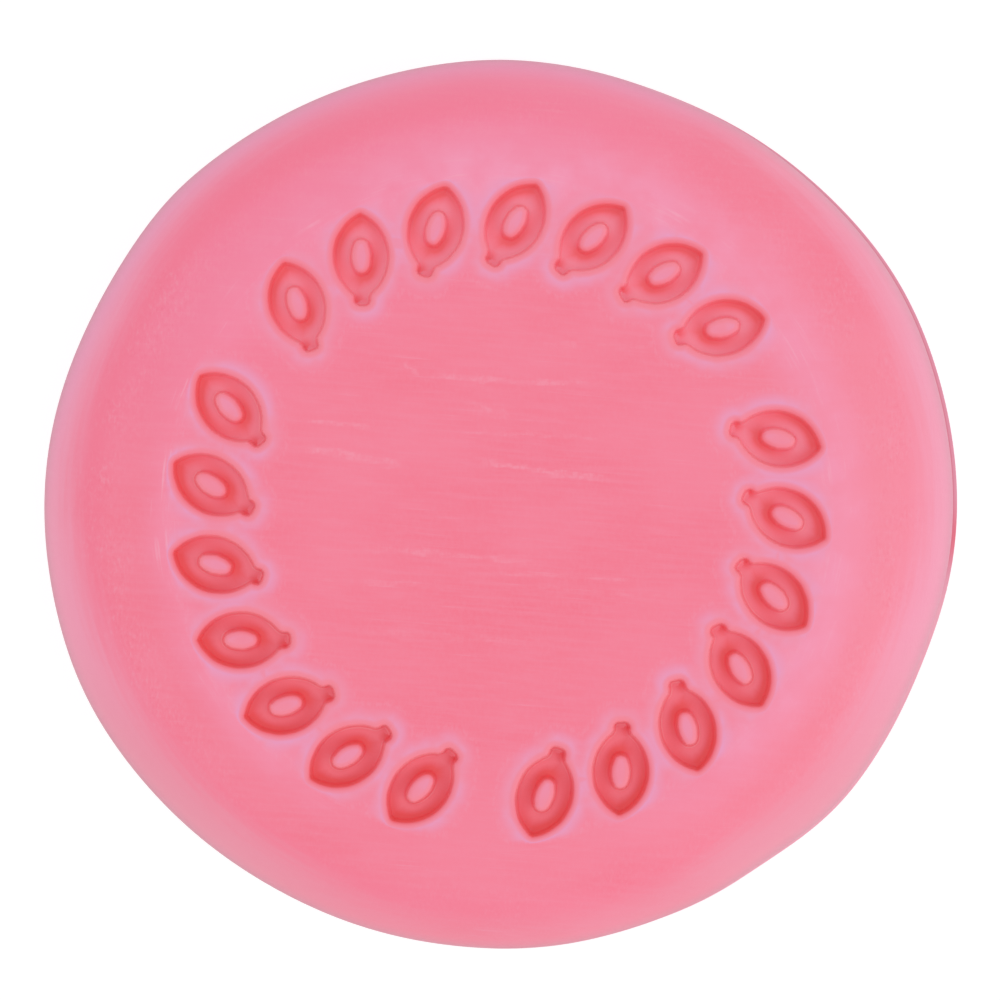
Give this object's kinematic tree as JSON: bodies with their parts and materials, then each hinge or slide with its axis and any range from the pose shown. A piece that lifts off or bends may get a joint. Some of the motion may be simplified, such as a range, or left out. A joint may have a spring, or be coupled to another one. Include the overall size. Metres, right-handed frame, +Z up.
{
  "type": "bar of soap",
  "caption": "Round pressed bar of toilet soap with a sloping rim, rounded edges, flat front and back faces and a ring of sunken leaf marks struck into the front.",
  "frame": {"origin": "centre of the bar's box at the level of the flat back it rests on", "axes": "+Z up through the thickness to the marked front face; +X the longer way across, along which the two die halves are out of line; +Y completes the right-handed frame"},
  "size_m": [0.0754, 0.075, 0.024],
  "materials": {
    "soap": null
  },
  "bodies": {
    "root": {"soap_bar": "soap"}
  },
  "joints": []
}
